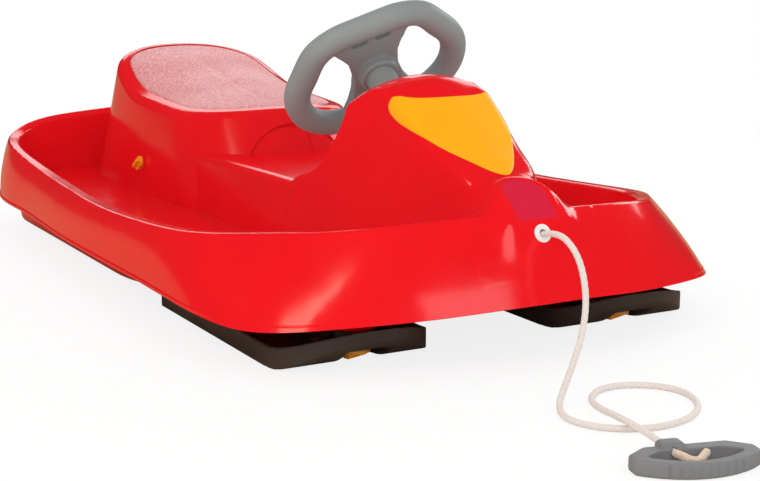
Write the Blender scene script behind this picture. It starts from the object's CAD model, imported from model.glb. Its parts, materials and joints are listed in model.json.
import json
import math

import bpy
import numpy as np
from mathutils import Matrix, Vector
from mathutils.bvhtree import BVHTree


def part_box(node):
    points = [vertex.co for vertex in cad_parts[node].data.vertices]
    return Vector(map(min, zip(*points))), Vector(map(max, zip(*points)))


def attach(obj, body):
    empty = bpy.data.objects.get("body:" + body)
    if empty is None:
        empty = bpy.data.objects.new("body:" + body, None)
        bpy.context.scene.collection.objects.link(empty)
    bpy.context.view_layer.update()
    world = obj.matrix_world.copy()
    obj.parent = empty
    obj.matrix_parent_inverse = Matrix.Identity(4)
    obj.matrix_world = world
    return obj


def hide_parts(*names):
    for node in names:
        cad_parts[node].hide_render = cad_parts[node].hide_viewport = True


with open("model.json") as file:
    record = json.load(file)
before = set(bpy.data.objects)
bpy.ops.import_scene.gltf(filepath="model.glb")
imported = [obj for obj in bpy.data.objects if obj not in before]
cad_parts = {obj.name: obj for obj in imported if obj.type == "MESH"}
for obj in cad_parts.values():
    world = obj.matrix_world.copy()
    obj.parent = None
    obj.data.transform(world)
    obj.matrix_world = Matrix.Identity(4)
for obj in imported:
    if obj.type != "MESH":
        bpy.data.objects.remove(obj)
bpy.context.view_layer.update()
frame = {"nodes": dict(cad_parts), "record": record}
nodes = frame["nodes"]

UP = Vector((0, 0, 1))
DOWN = Vector((0, 0, -1))


# Shader helpers

NOISE_LOW, NOISE_HIGH = 0.3, 0.7      # the range in which most of a noise lies


def material(name, color, rough, metallic=0.0, coat=0.0, coat_rough=0.05, specular=0.5):
    mat = bpy.data.materials.new(name)
    mat.use_nodes = True
    shader = shader_of(mat)
    shader.inputs["Base Color"].default_value = (*color, 1)
    shader.inputs["Roughness"].default_value = rough
    shader.inputs["Metallic"].default_value = metallic
    shader.inputs["Coat Weight"].default_value = coat
    shader.inputs["Coat Roughness"].default_value = coat_rough
    shader.inputs["Specular IOR Level"].default_value = specular
    return mat


def shader_of(mat):
    return mat.node_tree.nodes["Principled BSDF"]


def add(mat, kind, **settings):
    node = mat.node_tree.nodes.new(kind)
    for key, value in settings.items():
        setattr(node, key, value)
    return node


def link(mat, a, b):
    mat.node_tree.links.new(a, b)


def position(mat, stretch):
    """Object coordinates, stretched."""
    coords = add(mat, "ShaderNodeTexCoord")
    mapping = add(mat, "ShaderNodeMapping")
    mapping.inputs["Scale"].default_value = stretch
    link(mat, coords.outputs["Object"], mapping.inputs["Vector"])
    return mapping.outputs["Vector"]


def noise(mat, scale=1.0, detail=3.0, rough=0.5, stretch=(1, 1, 1)):
    texture = add(mat, "ShaderNodeTexNoise")
    texture.inputs["Scale"].default_value = scale
    texture.inputs["Detail"].default_value = detail
    texture.inputs["Roughness"].default_value = rough
    link(mat, position(mat, stretch), texture.inputs["Vector"])
    return texture.outputs["Fac"]


def ramp(mat, fac, stops):
    node = add(mat, "ShaderNodeValToRGB")
    items = node.color_ramp.elements
    while len(items) < len(stops):
        items.new(0.5)
    for item, (place, color) in zip(items, stops):
        item.position = place
        item.color = (*color, 1)
    link(mat, fac, node.inputs["Fac"])
    return node.outputs["Color"]


def spread(mat, fac, low, high):
    """A noise brought into the range from low to high."""
    node = add(mat, "ShaderNodeMapRange")
    node.inputs["From Min"].default_value = NOISE_LOW
    node.inputs["From Max"].default_value = NOISE_HIGH
    node.inputs["To Min"].default_value = low
    node.inputs["To Max"].default_value = high
    link(mat, fac, node.inputs["Value"])
    return node.outputs["Result"]


def bump(mat, height, strength, distance, after=None):
    node = add(mat, "ShaderNodeBump")
    node.inputs["Strength"].default_value = strength
    node.inputs["Distance"].default_value = distance
    link(mat, height, node.inputs["Height"])
    if after is not None:
        link(mat, after, node.inputs["Normal"])
    link(mat, node.outputs["Normal"], shader_of(mat).inputs["Normal"])


def tone(color, factor):
    return tuple(min(1.0, c * factor) for c in color)


# Plastics

RED = (0.80, 0.005, 0.010)
RED_BOUNCE = (0.76, 0.38, 0.38)
CRIMSON = (0.66, 0.013, 0.046)
YELLOW = (1.0, 0.42, 0.004)
ORANGE = (1.0, 0.36, 0.008)
WHEEL_GREY = (0.250, 0.280, 0.283)
HANDLE_GREY = (0.198, 0.204, 0.212)
WHITE = (0.80, 0.78, 0.76)
BLACK = (0.044, 0.030, 0.027)

CLOUDS = 14.0                 # scale of the colour's slow change
SHEEN = 30.0                  # scale of the gloss's change
GLOSSIER, DULLER = 0.88, 1.14
GRAIN_HEIGHT = 0.0004
COAT_ROUGH = 0.08
STREAK = (900, 9, 900)        # fine across the travel, long along it


def plastic(name, color, rough, grain, depth, coat=0.0, vary=0.06, specular=0.5):
    """Moulded plastic: slightly uneven colour and gloss with a fine surface grain."""
    mat = material(name, color, rough, coat=coat, coat_rough=COAT_ROUGH, specular=specular)
    stops = [(NOISE_LOW, tone(color, 1 - vary)), (NOISE_HIGH, tone(color, 1 + vary))]
    link(mat, ramp(mat, noise(mat, CLOUDS), stops), shader_of(mat).inputs["Base Color"])
    gloss = spread(mat, noise(mat, SHEEN, detail=4.0), rough * GLOSSIER, rough * DULLER)
    link(mat, gloss, shader_of(mat).inputs["Roughness"])
    bump(mat, noise(mat, grain, detail=2.0), depth, GRAIN_HEIGHT)
    return mat


def black_plastic():
    """Black runner plastic with fine scratches along the travel."""
    mat = plastic("moulded_black", BLACK, rough=0.36, grain=900.0, depth=0.12, vary=0.2)
    streak = noise(mat, detail=3.0, rough=0.6, stretch=STREAK)
    shader = shader_of(mat)
    link(mat, spread(mat, streak, 0.3, 0.5), shader.inputs["Roughness"])
    grain = shader.inputs["Normal"].links[0].from_socket
    bump(mat, streak, 0.08, GRAIN_HEIGHT, after=grain)
    return mat


red = plastic("shell_red", RED, rough=0.16, grain=260.0, depth=0.02, coat=0.1, vary=0.03, specular=0.32)
yellow = plastic("shield_yellow", YELLOW, rough=0.3, grain=700.0, depth=0.05, specular=0.12)
orange = plastic("plug_orange", ORANGE, rough=0.32, grain=700.0, depth=0.05)
grey = plastic("wheel_grey", WHEEL_GREY, rough=0.5, grain=1500.0, depth=0.22, vary=0.05)
handle_grey = plastic("handle_grey", HANDLE_GREY, rough=0.5, grain=1500.0, depth=0.22, vary=0.05)
white = plastic("eyelet_white", WHITE, rough=0.4, grain=900.0, depth=0.05)
black = black_plastic()


# Steel, pad and rope

STEEL_DARK, STEEL, STEEL_PALE = (0.50, 0.50, 0.51), (0.56, 0.56, 0.57), (0.60, 0.60, 0.60)
BRUSHED = (60, 900, 900)      # long across the sled, fine along it
PAD_RED, PAD_PINK, PAD_PALE = (0.56, 0.065, 0.075), (0.79, 0.29, 0.30), (1.0, 0.73, 0.73)
PAD_MEAN = (0.72, 0.2, 0.2)
PAD_WORN, PAD_FRESH = (0.90, 0.66, 0.66), (1.0, 1.0, 1.0)
ROPE_PALE, ROPE_DARK = (0.80, 0.74, 0.70), (0.52, 0.46, 0.43)
KNOT_PALE, KNOT_DARK = (0.77, 0.62, 0.50), (0.5, 0.36, 0.27)


def steel_material():
    mat = material("steel", STEEL, rough=0.32, metallic=1.0)
    brushed = noise(mat, detail=4.0, rough=0.6, stretch=BRUSHED)
    link(mat, spread(mat, brushed, 0.22, 0.42), shader_of(mat).inputs["Roughness"])
    shade = ramp(mat, noise(mat, 40.0), [(NOISE_LOW, STEEL_DARK), (NOISE_HIGH, STEEL_PALE)])
    link(mat, shade, shader_of(mat).inputs["Base Color"])
    bump(mat, brushed, strength=0.1, distance=0.0002)
    return mat


def pad_material():
    """Grained pad: red with a dense pale speckle."""
    mat = material("pad_grain", PAD_MEAN, rough=0.42)
    fine = noise(mat, 640.0, rough=0.7)
    broad = noise(mat, 9.0, detail=2.0)
    grain = ramp(mat, fine, [(0.36, PAD_RED), (0.50, PAD_PINK), (0.64, PAD_PALE)])
    wear = ramp(mat, broad, [(0.3, PAD_WORN), (0.62, PAD_FRESH)])
    worn = add(mat, "ShaderNodeMix", data_type="RGBA", blend_type="MULTIPLY")
    worn.inputs["Factor"].default_value = 1.0
    link(mat, grain, worn.inputs["A"])
    link(mat, wear, worn.inputs["B"])
    link(mat, worn.outputs["Result"], shader_of(mat).inputs["Base Color"])
    link(mat, spread(mat, fine, 0.36, 0.55), shader_of(mat).inputs["Roughness"])
    bump(mat, fine, strength=0.5, distance=0.0006)
    return mat


def rope_material(name, pale, dark):
    """Braided cord: yarn colour, fibres and darker furrows."""
    mat = material(name, pale, rough=0.8, specular=0.25)
    shader_of(mat).inputs["Sheen Weight"].default_value = 0.25
    fibre = noise(mat, 1900.0, rough=0.7)
    shade = ramp(mat, fibre, [(0.3, dark), (0.55, pale), (0.75, tone(pale, 1.12))])
    link(mat, shade, shader_of(mat).inputs["Base Color"])
    bump(mat, fibre, strength=0.35, distance=0.0004)
    return mat


steel = steel_material()
pad_mat = pad_material()
rope_mat = rope_material("rope_white", ROPE_PALE, ROPE_DARK)
knot_mat = rope_material("knot_tan", KNOT_PALE, KNOT_DARK)


# The shell's red: crimson field on the nose, and what the red throws on its neighbours

FIELD_Y = -0.4345                      # centre of the field's arch
FIELD_OUTER, FIELD_INNER = 0.02126, 0.0204    # radii between which the arch's edge fades
FIELD_FRONT = (-0.4565, -0.4555)       # the straight front edge, in y
FIELD_LOWEST = (0.124, 0.126)          # nothing below this is crimson


def tinted(mat, share, color):
    """Mixes one more colour into the base colour."""
    blend = add(mat, "ShaderNodeMix", data_type="RGBA")
    base = shader_of(mat).inputs["Base Color"]
    link(mat, share, blend.inputs["Factor"])
    link(mat, base.links[0].from_socket, blend.inputs["A"])
    blend.inputs["B"].default_value = (*color, 1)
    link(mat, blend.outputs["Result"], base)


def field_share(mat):
    """1 inside the plain field on top of the nose tongue: an arch with a straight front edge."""
    split = add(mat, "ShaderNodeSeparateXYZ")
    coords = add(mat, "ShaderNodeTexCoord")
    link(mat, coords.outputs["Object"], split.inputs["Vector"])

    def step(value, low, high):
        node = add(mat, "ShaderNodeMapRange", interpolation_type="SMOOTHSTEP")
        node.inputs["From Min"].default_value = low
        node.inputs["From Max"].default_value = high
        link(mat, value, node.inputs["Value"])
        return node.outputs["Result"]

    def calc(operation, a, b):
        node = add(mat, "ShaderNodeMath", operation=operation)
        for socket, value in zip(node.inputs, (a, b)):
            if isinstance(value, float):
                socket.default_value = value
            else:
                link(mat, value, socket)
        return node.outputs["Value"]

    x, y, z = (split.outputs[axis] for axis in "XYZ")
    behind = calc("MAXIMUM", calc("SUBTRACT", y, FIELD_Y), 0.0)
    squared = calc("ADD", calc("MULTIPLY", x, x), calc("MULTIPLY", behind, behind))
    arch = step(squared, FIELD_OUTER ** 2, FIELD_INNER ** 2)
    ahead = calc("MULTIPLY", arch, step(y, *FIELD_FRONT))
    return calc("MULTIPLY", ahead, step(z, *FIELD_LOWEST))


tinted(red, field_share(red), CRIMSON)
tinted(red, add(red, "ShaderNodeLightPath").outputs["Is Diffuse Ray"], RED_BOUNCE)

SLOTS = {"shell_red": red, "shield_yellow": yellow, "plug_orange": orange, "fitting_black": black,
         "ski_black": black, "steel": steel, "wheel_grey": grey, "eyelet_white": white,
         "rope_white": rope_mat, "knot_tan": knot_mat, "pad_grain": pad_mat}
for entry in frame["record"]["subparts"]:
    obj = nodes[entry["node"]]
    obj.data.materials.clear()
    obj.data.materials.append(SLOTS[entry["material_slot"]])


# Mesh helpers

def placed(name, mesh, mat, body):
    obj = bpy.data.objects.new(name, mesh)
    bpy.context.scene.collection.objects.link(obj)
    mesh.materials.clear()
    mesh.materials.append(mat)
    for poly in mesh.polygons:
        poly.use_smooth = True
    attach(obj, body)
    return obj


def new_piece(name, verts, faces, mat, body, slot):
    mesh = bpy.data.meshes.new(name)
    mesh.from_pydata([tuple(v) for v in verts], [], faces)
    mesh.update()
    return placed(name, mesh, mat, body)


def clamped(value):
    return min(1.0, max(0.0, value))


def eased(value):
    value = clamped(value)
    return value * value * (3 - 2 * value)


def bell(value, width):
    return math.exp(-(value / width) ** 2)


def tree_of(obj):
    return BVHTree.FromPolygons([v.co.copy() for v in obj.data.vertices],
                                [tuple(p.vertices) for p in obj.data.polygons])


def smooth_loop(points, fine):
    """Closed curve through the points."""
    count, track = len(points), []
    for i in range(count):
        a, b, c, d = (points[(i + k) % count] for k in (-1, 0, 1, 2))
        for k in range(fine):
            t = k / fine
            track.append(0.5 * (2 * b + (c - a) * t + (2 * a - 5 * b + 4 * c - d) * t * t
                                + (3 * b - a - 3 * c + d) * t ** 3))
    return track


# Tow rope: the route's points as the control points of one smooth spline

ROPE_D = 0.0056
LAID = 0.0029                 # height of the rope's middle on the floor
OVER = 0.0092                 # and where it crosses over itself and enters the handle
ROUTE = [(0, -0.4465, 0.1090), (0, -0.4801, 0.1222), (0, -0.514, 0.108), (-0.002, -0.531, 0.076),
         (-0.014, -0.543, 0.044), (-0.042, -0.562, 0.016), (-0.075, -0.592, LAID), (-0.086, -0.624, LAID),
         (-0.070, -0.654, LAID), (-0.036, -0.670, LAID), (0.002, -0.664, LAID), (0.032, -0.640, LAID),
         (0.045, -0.604, LAID), (0.028, -0.574, LAID), (-0.006, -0.563, LAID), (-0.036, -0.582, LAID),
         (-0.050, -0.613, 0.005), (-0.057, -0.648, OVER), (-0.0632, -0.6955, OVER),
         (-0.0735, -0.7342, OVER)]
END_D = 0.0060
END_KNOT = [(-0.0736, -0.7338, OVER), (-0.0725, -0.7400, OVER), (-0.0712, -0.7495, 0.0080),
            (-0.0655, -0.7512, 0.0078), (-0.0595, -0.7476, 0.0088), (-0.0529, -0.7440, 0.0098)]
STOP_D = 0.0040
STOP_CENTRE = Vector((0, -0.4428, 0.1076))
STOP_RADIUS = 0.0043
STOP_FLAT, STOP_ROUND, STOP_LOOP = 0.35, 0.62, 0.6    # thickness, width and size of the inner loop
STOP_STEP, STOP_POINTS = 0.42, 15
ROPE_STEP = 0.0007            # between two rings of the rope's skin
ROPE_SIDES = 32
SPLINE_FINE = 24
BRAID_PITCH = 0.0062
BRAID_STRANDS = 4
BRAID_DEPTH = 0.07            # share of the radius
SHORTEST_END = 0.3            # share of a step that a last piece of line must have


def stop_point(t):
    """A trefoil pulled tight."""
    across = math.cos(3 * t) * STOP_FLAT
    along = (math.sin(t) + STOP_LOOP * math.sin(2 * t)) * STOP_ROUND
    up = (math.cos(t) - STOP_LOOP * math.cos(2 * t)) * STOP_ROUND
    return STOP_CENTRE + STOP_RADIUS * Vector((across, along, up))


def spline_points(points):
    curve = bpy.data.curves.new("route", "CURVE")
    curve.dimensions = "3D"
    curve.resolution_u = SPLINE_FINE
    spline = curve.splines.new("NURBS")
    spline.points.add(len(points) - 1)
    for point, co in zip(spline.points, points):
        point.co = (*co, 1)
    spline.order_u = 3
    spline.use_endpoint_u = True
    holder = bpy.data.objects.new("route", curve)
    line = bpy.data.meshes.new_from_object(holder)
    found = [v.co.copy() for v in line.vertices]
    bpy.data.meshes.remove(line)
    bpy.data.objects.remove(holder)
    bpy.data.curves.remove(curve)
    return found


def even(points, step):
    """Points at equal distances along a polyline."""
    out, left = [points[0]], step
    for a, b in zip(points, points[1:]):
        length = (b - a).length
        done = 0.0
        while length - done >= left:
            done += left
            out.append(a.lerp(b, done / length))
            left = step
        left -= length - done
    if (out[-1] - points[-1]).length > step * SHORTEST_END:
        out.append(points[-1])
    return out


def braided(line, radius):
    """Tube along the line whose skin carries crossing strands."""
    verts, faces, around = [], [], ROPE_SIDES
    side = UP.cross(line[1] - line[0]).normalized()
    travelled = 0.0
    for i, p in enumerate(line):
        ahead = line[min(i + 1, len(line) - 1)] - line[max(i - 1, 0)]
        ahead.normalize()
        side = (side - ahead * side.dot(ahead)).normalized()
        up = ahead.cross(side)
        if i:
            travelled += (p - line[i - 1]).length
        turn = 2 * math.pi * travelled / BRAID_PITCH
        for k in range(around):
            a = 2 * math.pi * k / around
            swell = max(math.cos(BRAID_STRANDS * a - turn), math.cos(BRAID_STRANDS * a + turn))
            r = radius * (1 - BRAID_DEPTH + BRAID_DEPTH * swell)
            verts.append(p + (side * math.cos(a) + up * math.sin(a)) * r)
    rows = len(line)
    for i in range(rows - 1):
        for k in range(around):
            j = (k + 1) % around
            faces.append((i * around + k, i * around + j, (i + 1) * around + j, (i + 1) * around + k))
    faces.append(tuple(range(around - 1, -1, -1)))
    faces.append(tuple((rows - 1) * around + k for k in range(around)))
    return verts, faces


def rope_piece(name, line, thickness, mat, slot, node):
    piece = new_piece(name, *braided(line, thickness / 2), mat, "sled", slot)
    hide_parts(node)
    return piece


end_line = even(spline_points(END_KNOT), ROPE_STEP)
stop_line = even(spline_points([stop_point(STOP_STEP * k) for k in range(STOP_POINTS)]), ROPE_STEP)
rope_line = even(spline_points(ROUTE), ROPE_STEP)
end_knot = rope_piece("end_knot", end_line, END_D, knot_mat, "knot_tan", "handle_knot")
stop_knot = rope_piece("stop_knot", stop_line, STOP_D, rope_mat, "rope_white", "rope_stop_knot")
rope = rope_piece("braided_rope", rope_line, ROPE_D, rope_mat, "rope_white", "tow_rope")


# Softened mouldings: the CAD solid with its hard edges melted a little

MELT = 0.5                    # share of the way to its neighbours that a point moves in each round


def softened(node, name, voxel, rounds, mat, body, shape=None):
    copy = bpy.data.objects.new(name, nodes[node].data.copy())
    bpy.context.scene.collection.objects.link(copy)
    remesh = copy.modifiers.new("remesh", "REMESH")
    remesh.mode = "VOXEL"
    remesh.voxel_size = voxel
    smooth = copy.modifiers.new("smooth", "SMOOTH")
    smooth.factor = MELT
    smooth.iterations = rounds
    bpy.context.view_layer.update()
    mesh = bpy.data.meshes.new_from_object(copy.evaluated_get(bpy.context.evaluated_depsgraph_get()))
    bpy.data.objects.remove(copy)
    if shape:
        for vert in mesh.vertices:
            vert.co = shape(vert.co)
    piece = placed(name, mesh, mat, body)
    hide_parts(node)
    return piece


# Skis

SKI_X = 0.145                 # from the sled's middle to a ski's middle
SKI_FLAT = 0.035              # half width that keeps its place
SKI_EASE = 0.03               # width over which the walls' move sets in
SKI_WIDER = 0.047             # share by which the walls move apart
SKI_OUT = 0.0025              # and their move away from the sled's middle
SKI_WALL = 0.020              # height over which the upturn's change fades
BUILT_UPTURN = (0.115, -0.362)    # radius, and y where the upturn begins, of the solid
SHOWN_UPTURN = (0.068, -0.368)    # and of the steeper one that shows
SKI_VOXEL, SKI_ROUNDS = 0.0013, 4


def upturn_height(upturn, y):
    radius, begin = upturn
    return radius - math.sqrt(radius ** 2 - max(0.0, begin - y) ** 2)


def ski_shape(centre):
    """Steeper upturned front with a lower wall, and walls a little further apart."""
    def moved(co):
        side = co.x - centre
        share = eased((abs(side) - SKI_FLAT) / SKI_EASE)
        x = co.x + share * (SKI_WIDER * side + math.copysign(SKI_OUT, centre))
        built, shown = (upturn_height(upturn, co.y) for upturn in (BUILT_UPTURN, SHOWN_UPTURN))
        lifted = clamped(1 - (co.z - built) / SKI_WALL)
        return Vector((x, co.y, co.z + (shown - built) * lifted))
    return moved


for ski, centre in (("left_ski", SKI_X), ("right_ski", -SKI_X)):
    softened(ski, "moulded_" + ski, SKI_VOXEL, SKI_ROUNDS, black, ski + "_body",
             ski_shape(centre))


# Steering wheel and tow handle

WHEEL_CENTRE = Vector((0, -0.155, 0.238))
WHEEL_AXIS = Vector((0, 0.8, 0.6))
WHEEL_SEAT = Matrix.Rotation(math.radians(-18), 3, WHEEL_AXIS)       # how the wheel sits on its rod
WHEEL_FURTHER = Matrix.Rotation(math.radians(-8), 3, WHEEL_AXIS)     # and how much further it shows
WHEEL_ACROSS = WHEEL_SEAT @ Vector((1, 0, 0))
WHEEL_UP = WHEEL_SEAT @ Vector((0, -0.6, 0.8))
HUB_RADIUS = 0.035            # inside this the wheel keeps its shape
HUB_EASE = 0.03
RIM_WIDER, RIM_LOWER = 0.03, 0.045            # shares of the rim's size
SHOULDER = 0.0045             # the rim's fullness at its shoulders
SHOULDER_ANGLE, SHOULDER_SPREAD = 38, 18      # degrees above the middle
SHOULDER_ACROSS, SHOULDER_UP = 0.77, 0.64     # which way the shoulders grow
WHEEL_VOXEL, WHEEL_ROUNDS = 0.0014, 14
HANDLE_VOXEL, HANDLE_ROUNDS = 0.0007, 6


def wheel_shape(co):
    """A rim a little wider and lower with fuller shoulders, turned a little further round on its rod."""
    arm = co - WHEEL_CENTRE
    across, up = arm.dot(WHEEL_ACROSS), arm.dot(WHEEL_UP)
    share = eased((math.hypot(across, up) - HUB_RADIUS) / HUB_EASE)
    angle = math.degrees(math.atan2(up, abs(across)))
    full = SHOULDER * bell(angle - SHOULDER_ANGLE, SHOULDER_SPREAD)
    wider = RIM_WIDER * across + math.copysign(full * SHOULDER_ACROSS, across)
    higher = full * SHOULDER_UP - RIM_LOWER * up
    arm = arm + WHEEL_ACROSS * (share * wider) + WHEEL_UP * (share * higher)
    return WHEEL_CENTRE + WHEEL_FURTHER @ arm


softened("steering_wheel", "moulded_wheel", WHEEL_VOXEL, WHEEL_ROUNDS, grey, "steering",
         wheel_shape)
pull = softened("tow_handle", "moulded_handle", HANDLE_VOXEL, HANDLE_ROUNDS, handle_grey, "sled")


# Seat pad with its soft centre crease

PAD_AROUND, PAD_RINGS = 160, 40
PAD_FAR = 0.3                 # further from its centre than any edge of the pad
PAD_HALVINGS = 24             # steps in the search for the edge
PAD_INSET = 0.0006
PAD_ROUNDS = 12               # of evening out its top
PAD_THICK = 0.0022
PAD_DROP = 0.0011             # how far the outermost ring turns down
PAD_DROP_RINGS = 2.0
CREASE_DEPTH, CREASE_HALF = 0.0016, 0.007
CREASE_FRONT = 0.05           # length over which the crease sets in at the front
CREASE_REAR, CREASE_END = 0.09, 0.03      # length over which it fades, and where it ends before the rear
ABOVE = 1.0                   # a height above everything, to look down from


def pad_piece():
    tree = tree_of(nodes["seat_pad"])
    low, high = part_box("seat_pad")
    centre = Vector((0, (low.y + high.y) / 2, 0))
    around, rings = PAD_AROUND, PAD_RINGS

    def top(x, y):
        hit = tree.ray_cast(Vector((x, y, ABOVE)), DOWN)[0]
        return hit.z if hit is not None else None

    def spoke(a):
        """Points from beside the centre to just inside the pad's edge."""
        near, far = 0.0, PAD_FAR
        for _ in range(PAD_HALVINGS):
            mid = (near + far) / 2
            if top(centre.x + mid * math.cos(a), centre.y + mid * math.sin(a)) is None:
                far = mid
            else:
                near = mid
        reach = near - PAD_INSET
        return [(centre.x + reach * t / rings * math.cos(a), centre.y + reach * t / rings * math.sin(a))
                for t in range(1, rings + 1)]

    rows = [spoke(2 * math.pi * k / around) for k in range(around)]
    height = [[top(x, y) for x, y in row] for row in rows]
    for _ in range(PAD_ROUNDS):
        height = [[(height[k - 1][t] + height[(k + 1) % around][t]
                    + height[k][t - 1] + height[k][t + 1]) / 4
                   if 0 < t < rings - 1 else height[k][t] for t in range(rings)] for k in range(around)]
    verts = [Vector((centre.x, centre.y, top(centre.x, centre.y)))]
    for k in range(around):
        for t in range(rings):
            x, y = rows[k][t]
            edge = (rings - 1 - t) / PAD_DROP_RINGS
            drop = PAD_DROP * max(0.0, 1 - edge) ** 2
            verts.append(Vector((x, y, height[k][t] - drop)))
    for v in verts:
        along = clamped((v.y - low.y) / CREASE_FRONT) * clamped((high.y - CREASE_END - v.y) / CREASE_REAR)
        v.z -= CREASE_DEPTH * along * bell(v.x, CREASE_HALF)
    count = len(verts)
    verts += [Vector((v.x, v.y, v.z - PAD_THICK)) for v in verts]
    faces = []

    def at(k, t):
        return 1 + (k % around) * rings + t

    def below(k, t):
        return count + at(k, t)

    rim = rings - 1
    for k in range(around):
        faces.append((0, at(k, 0), at(k + 1, 0)))
        faces.append((count, below(k + 1, 0), below(k, 0)))
        for t in range(rim):
            faces.append((at(k, t), at(k, t + 1), at(k + 1, t + 1), at(k + 1, t)))
            faces.append((below(k, t), below(k + 1, t), below(k + 1, t + 1), below(k, t + 1)))
        faces.append((at(k, rim), below(k, rim), below(k + 1, rim), at(k + 1, rim)))
    pad = new_piece("grained_pad", verts, faces, pad_mat, "sled", "pad_grain")
    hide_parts("seat_pad")


pad_piece()


# Hood and nose: one smooth skin drawn over shell, shield recess and tongue

EYE = Vector((0, -0.4605, 0.1145))        # middle of the eyelet's face
EYE_LEVEL = 0.0075            # round the eyelet the skin is drawn over a flat face
EYE_SUNK = 0.001
EYE_HOLE = 0.0055
SKIN_OUT = Vector((0, -0.70, 0.714))      # the way the skin faces
SKIN_DOWN = Vector((0, -0.714, -0.70))    # along it, from the hood's top to the nose
SKIN_MIDDLE = Vector((0, -0.395, 0.158))
SKIN_TOP = SKIN_MIDDLE - SKIN_DOWN * 0.168
SKIN_STEP = 0.0015
SKIN_WIDE, SKIN_TALL = 100, 192           # steps across and down
SKIN_FAR = 0.2                # distance from which the shell is looked at
SKIN_MISS = -0.05             # level where there is no shell
SKIN_REAR_Y = -0.268
SKIN_HALF = 0.064             # half width on the hood
SKIN_FLARE, SKIN_FLARE_Y, SKIN_FLARE_RUN = 0.011, -0.335, 0.04    # and how it widens ahead of the hood
DRAW_ROUNDS = 260
SOFT_TIMES, SOFT_ROUNDS, PATCH_ROUNDS = 3, 14, 60
HOOD_FRONT_Y = -0.35
HOOD_BORDER, NOSE_BORDER = 9, 22          # steps over which the skin leaves the shell
SKIN_SUNK, SKIN_RISE, SKIN_RISE_STEPS = 0.0003, 0.0006, 5
BEAD_HEIGHT, BEAD_RADIUS, BEAD_WIDTH = 0.0009, 0.0258, 0.0012     # the fine line round the crimson field
BEAD_FRONT_Y, BEAD_FADE = -0.456, 0.014


def drawn(field, floor, rounds):
    """A sheet stretched over the floor from its fixed border."""
    field = field.copy()
    for _ in range(rounds):
        mean = (field[:-2, 1:-1] + field[2:, 1:-1] + field[1:-1, :-2] + field[1:-1, 2:]) / 4
        field[1:-1, 1:-1] = np.maximum(floor[1:-1, 1:-1], mean)
    return field


def stretched(base):
    """A sheet drawn over the base and softened, which still lies on or above it."""
    no_floor = np.full_like(base, -1.0)
    skin = drawn(base, base, DRAW_ROUNDS)
    for _ in range(SOFT_TIMES):
        soft = drawn(skin, no_floor, SOFT_ROUNDS)
        gap = np.maximum(base - soft, 0)
        skin = soft + drawn(gap, gap, PATCH_ROUNDS)
    return skin


def nose_skin():
    trees = [tree_of(nodes["upper_shell"]), tree_of(nodes["hood_shield"])]
    wide, tall = SKIN_WIDE, SKIN_TALL
    grid = [[SKIN_TOP + Vector(((i - wide / 2) * SKIN_STEP, 0, 0)) + SKIN_DOWN * (j * SKIN_STEP)
             for i in range(wide + 1)] for j in range(tall + 1)]

    def height(p):
        level = (EYE - p).dot(SKIN_OUT)
        if (p + SKIN_OUT * level - EYE).length < EYE_LEVEL:
            return level - EYE_SUNK
        hits = [tree.ray_cast(p + SKIN_OUT * SKIN_FAR, -SKIN_OUT)[0] for tree in trees]
        return max([(hit - p).dot(SKIN_OUT) for hit in hits if hit is not None], default=SKIN_MISS)

    base = np.array([[height(p) for p in row] for row in grid])
    skin = stretched(base)
    verts, keep = [], []
    for j in range(tall + 1):
        for i in range(wide + 1):
            p = grid[j][i]
            low = p + SKIN_OUT * base[j, i]
            half = SKIN_HALF + SKIN_FLARE * eased((SKIN_FLARE_Y - low.y) / SKIN_FLARE_RUN)
            rim = min((half - abs(p.x)) / SKIN_STEP, j, tall - j)
            share = eased(rim / (HOOD_BORDER if low.y > HOOD_FRONT_Y else NOSE_BORDER))
            ring = math.hypot(p.x, max(0.0, low.y - FIELD_Y))
            bead = BEAD_HEIGHT * bell(ring - BEAD_RADIUS, BEAD_WIDTH)
            bead *= eased((low.y - BEAD_FRONT_Y) / BEAD_FADE)
            lift = SKIN_RISE * eased(rim / SKIN_RISE_STEPS) - SKIN_SUNK
            verts.append(low + SKIN_OUT * ((skin[j, i] - base[j, i]) * share + lift + bead))
            keep.append(rim >= 0 and low.y < SKIN_REAR_Y and (low - EYE).length > EYE_HOLE)
    faces = []
    for j in range(tall):
        for i in range(wide):
            a = j * (wide + 1) + i
            face = (a, a + wide + 1, a + wide + 2, a + 1)
            if all(keep[v] for v in face):
                faces.append(face)
    used = sorted({v for face in faces for v in face})
    place = {v: k for k, v in enumerate(used)}
    return new_piece("nose_skin", [verts[v] for v in used],
                     [tuple(place[v] for v in face) for face in faces], red, "sled", "shell_red")


# Yellow shield, left bare

SHIELD_EDGE = [(0, -0.3045), (0.018, -0.3030), (0.033, -0.2990), (0.0450, -0.2940), (0.0522, -0.2872),
               (0.0550, -0.2835), (0.0565, -0.2848), (0.0568, -0.2920), (0.0552, -0.3080), (0.0512, -0.3270),
               (0.0440, -0.3450), (0.0345, -0.3625), (0.0240, -0.3800), (0.0125, -0.3955), (0.0045, -0.4030),
               (0, -0.4045)]
SHIELD_FINE = 12
SHIELD_MIDDLE = Vector((0, -0.345, 0))
SHIELD_RINGS = [k / 24 for k in range(1, 23)] + [0.935, 0.955, 0.972, 0.985, 0.995, 1.0]
SHIELD_ROLL = 0.95            # share of the way to the edge where it begins to roll down
SHIELD_PROUD, SHIELD_SUNK = 0.0011, 0.0004    # above the hood, and its edge below the hood's skin
SHIELD_ABOVE = 0.5            # a height above the hood, to look down from


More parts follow.
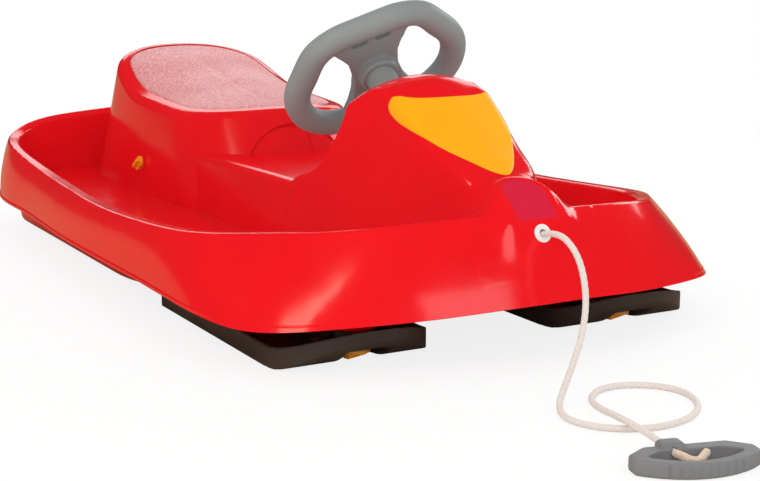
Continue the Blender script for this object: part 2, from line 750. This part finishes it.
def shield_piece(ground):
    """The plain yellow shield, its edge rolled down onto the hood."""
    tree = tree_of(ground)
    edge = [Vector((x, y, 0)) for x, y in SHIELD_EDGE]
    edge += [Vector((-p.x, p.y, 0)) for p in reversed(edge[1:-1])]
    track = smooth_loop(edge, SHIELD_FINE)
    around = len(track)

    def on_hood(p, lift):
        hit, normal = tree.ray_cast(Vector((p.x, p.y, SHIELD_ABOVE)), DOWN)[:2]
        return hit + normal * lift

    verts = [on_hood(SHIELD_MIDDLE, SHIELD_PROUD)]
    for share in SHIELD_RINGS:
        roll = max(0.0, (share - SHIELD_ROLL) / (1 - SHIELD_ROLL))
        lift = (SHIELD_PROUD + SHIELD_SUNK) * math.sqrt(max(0.0, 1 - roll * roll)) - SHIELD_SUNK
        verts += [on_hood(SHIELD_MIDDLE.lerp(p, share), lift) for p in track]
    faces = [(0, 1 + k, 1 + (k + 1) % around) for k in range(around)]
    for r in range(len(SHIELD_RINGS) - 1):
        a, b = 1 + r * around, 1 + (r + 1) * around
        for k in range(around):
            m = (k + 1) % around
            faces.append((a + k, b + k, b + m, a + m))
    piece = new_piece("shield_plate", verts, faces, yellow, "sled", "shield_yellow")
    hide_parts("hood_shield")


shield_piece(nose_skin())


# Rolled hem along the skirt's lower lip

LIP = [(0, -0.488, 0.058), (0.090, -0.478, 0.055), (0.176, -0.446, 0.048), (0.243, -0.402, 0.042),
       (0.269, -0.330, 0.042), (0.273, -0.207, 0.044), (0.274, -0.050, 0.044), (0.273, 0.103, 0.044),
       (0.266, 0.264, 0.044), (0.253, 0.404, 0.044), (0.217, 0.464, 0.046), (0.132, 0.482, 0.047),
       (0, 0.486, 0.048)]
LIP_FINE = 24
LIP_FAR = 0.05                # distance from which the lip is looked for
LIP_RISE = 0.006              # height above the lip at which the skirt's face is found
LIP_IN = 0.002                # depth in the wall at which its lower edge is found
HEM_UP, HEM_IN = 0.0022, 0.0004           # the hem's middle, from the wall's lower edge and outer face
HEM_HALF_THICK, HEM_HALF_TALL = 0.0021, 0.0024
HEM_SIDES = 12
HEM_ROUNDS = 6                # of evening out its line


def hem_piece():
    tree = tree_of(nodes["upper_shell"])
    whole_lip = LIP + [(-x, y, z) for x, y, z in reversed(LIP[1:-1])]
    track = smooth_loop([Vector(p) for p in whole_lip], LIP_FINE)
    total = len(track)
    centres, sides = [], []
    for i, p in enumerate(track):
        along = track[(i + 1) % total] - track[i - 1]
        side = Vector((along.y, -along.x, 0)).normalized()
        if side.dot(Vector((p.x, p.y, 0))) < 0:
            side = -side
        hit = tree.ray_cast(p + side * LIP_FAR + UP * LIP_RISE, -side)[0]
        foot = tree.ray_cast(hit - side * LIP_IN + DOWN * LIP_FAR, UP)[0]
        low = foot.z if foot is not None and foot.z < hit.z else p.z
        centres.append(Vector((hit.x, hit.y, low + HEM_UP)) - side * HEM_IN)
        sides.append(side)
    for _ in range(HEM_ROUNDS):
        centres = [(centres[i - 1] + centres[i] * 2 + centres[(i + 1) % total]) / 4 for i in range(total)]
    verts, faces, around = [], [], HEM_SIDES
    for place, side in zip(centres, sides):
        for k in range(around):
            a = 2 * math.pi * k / around
            verts.append(place + side * (HEM_HALF_THICK * math.cos(a)) + UP * (HEM_HALF_TALL * math.sin(a)))
    for i in range(total):
        j = (i + 1) % total
        for k in range(around):
            m = (k + 1) % around
            faces.append((i * around + k, i * around + m, j * around + m, j * around + k))
    new_piece("skirt_hem", verts, faces, red, "sled", "shell_red")


hem_piece()


# Stage and light

FLOOR_HALF = 40
FLOOR_Z = -0.0005
FLOOR_WHITE = 0.93
FLOOR_MIRRORED = (("Red", 0.42), ("Green", 0.31), ("Blue", 0.18))     # as the gloss shows it
GLOW_NEAR, GLOW_FAR = 0.75, 1.5           # the floor turns plain white between these distances
GLOW_LEAST = 0.84                         # share of plain white beside the sled
SKY, SKY_MIRRORED, SKY_SEEN = 0.86, 0.04, 1.0     # for shading, as the gloss shows it, for the camera
WARM = (1.0, 0.78, 0.6)


def seen_as(tree, kind, plain, other):
    """A number that is other for one kind of ray and plain for the rest."""
    path = tree.nodes.new("ShaderNodeLightPath")
    mix = tree.nodes.new("ShaderNodeMix")
    tree.links.new(path.outputs[kind], mix.inputs["Factor"])
    for key, value in (("A", plain), ("B", other)):
        if isinstance(value, float):
            mix.inputs[key].default_value = value
        else:
            tree.links.new(value, mix.inputs[key])
    return mix.outputs["Result"]


def floor_material():
    """A pale floor: shaded by the sled close by, plain white further away."""
    mat = bpy.data.materials.new("floor_white")
    mat.use_nodes = True
    tree = mat.node_tree
    tree.nodes.clear()
    diffuse = tree.nodes.new("ShaderNodeBsdfDiffuse")
    color = tree.nodes.new("ShaderNodeCombineColor")
    for channel, level in FLOOR_MIRRORED:
        tree.links.new(seen_as(tree, "Is Glossy Ray", FLOOR_WHITE, level), color.inputs[channel])
    tree.links.new(color.outputs["Color"], diffuse.inputs["Color"])
    coords = tree.nodes.new("ShaderNodeTexCoord")
    reach = tree.nodes.new("ShaderNodeVectorMath")
    reach.operation = "LENGTH"
    tree.links.new(coords.outputs["Object"], reach.inputs[0])
    away = tree.nodes.new("ShaderNodeMapRange")
    away.interpolation_type = "SMOOTHSTEP"
    away.inputs["From Min"].default_value = GLOW_NEAR
    away.inputs["From Max"].default_value = GLOW_FAR
    away.inputs["To Min"].default_value = GLOW_LEAST
    tree.links.new(reach.outputs["Value"], away.inputs["Value"])
    glow = tree.nodes.new("ShaderNodeEmission")
    blend = tree.nodes.new("ShaderNodeMixShader")
    tree.links.new(seen_as(tree, "Is Camera Ray", 0.0, away.outputs["Result"]), blend.inputs["Fac"])
    tree.links.new(diffuse.outputs["BSDF"], blend.inputs[1])
    tree.links.new(glow.outputs["Emission"], blend.inputs[2])
    output = tree.nodes.new("ShaderNodeOutputMaterial")
    tree.links.new(blend.outputs["Shader"], output.inputs["Surface"])
    return mat


def stage_floor():
    mesh = bpy.data.meshes.new("floor")
    corners = [(-1, -1), (1, -1), (1, 1), (-1, 1)]
    mesh.from_pydata([(x * FLOOR_HALF, y * FLOOR_HALF, FLOOR_Z) for x, y in corners], [], [(0, 1, 2, 3)])
    floor = bpy.data.objects.new("floor", mesh)
    bpy.context.scene.collection.objects.link(floor)
    mesh.materials.append(floor_material())


def area_light(name, place, aim, size, power, color=(1, 1, 1)):
    data = bpy.data.lights.new(name, "AREA")
    data.shape = "RECTANGLE"
    data.size, data.size_y = size
    data.energy = power
    data.color = color
    lamp = bpy.data.objects.new(name, data)
    lamp.location = place
    lamp.rotation_euler = (Vector(aim) - Vector(place)).to_track_quat("-Z", "Y").to_euler()
    bpy.context.scene.collection.objects.link(lamp)


def studio_world():
    world = bpy.data.worlds.new("studio")
    bpy.context.scene.world = world
    world.use_nodes = True
    tree = world.node_tree
    sky = tree.nodes["Background"]
    sky.inputs["Color"].default_value = (1, 1, 1, 1)
    unseen = seen_as(tree, "Is Glossy Ray", SKY, SKY_MIRRORED)
    tree.links.new(seen_as(tree, "Is Camera Ray", unseen, SKY_SEEN), sky.inputs["Strength"])


stage_floor()
area_light("key", place=(-1.7, -1.25, 1.6), aim=(0, 0, 0.1), size=(0.8, 0.6), power=13, color=WARM)
area_light("side", place=(2.1, 0.4, 1.1), aim=(0, -0.2, 0.15), size=(1.2, 0.6), power=9)
area_light("front", place=(0.12, -2.17, 1.08), aim=(-0.05, -0.47, 0.07), size=(1.1, 0.42), power=4.5)
area_light("back", place=(1.5, 2.8, 1.5), aim=(0, 0, 0.2), size=(3.0, 1.2), power=20)
studio_world()


# Camera

CAMERA_PLACE = (-0.745, -1.514, 0.367)
CAMERA_TILT, CAMERA_TURN = 78.6, -28.93       # degrees
CAMERA_LENS, CAMERA_SENSOR = 70.34, 36        # millimetres

camera = bpy.data.cameras.new("camera")
camera.lens = CAMERA_LENS
camera.sensor_width = CAMERA_SENSOR
camera.sensor_fit = "HORIZONTAL"
camera_obj = bpy.data.objects.new("camera", camera)
camera_obj.location = CAMERA_PLACE
camera_obj.rotation_euler = (math.radians(CAMERA_TILT), 0, math.radians(CAMERA_TURN))
bpy.context.scene.collection.objects.link(camera_obj)
bpy.context.scene.camera = camera_obj
bpy.context.scene.view_settings.view_transform = "Standard"

bpy.context.view_layer.update()
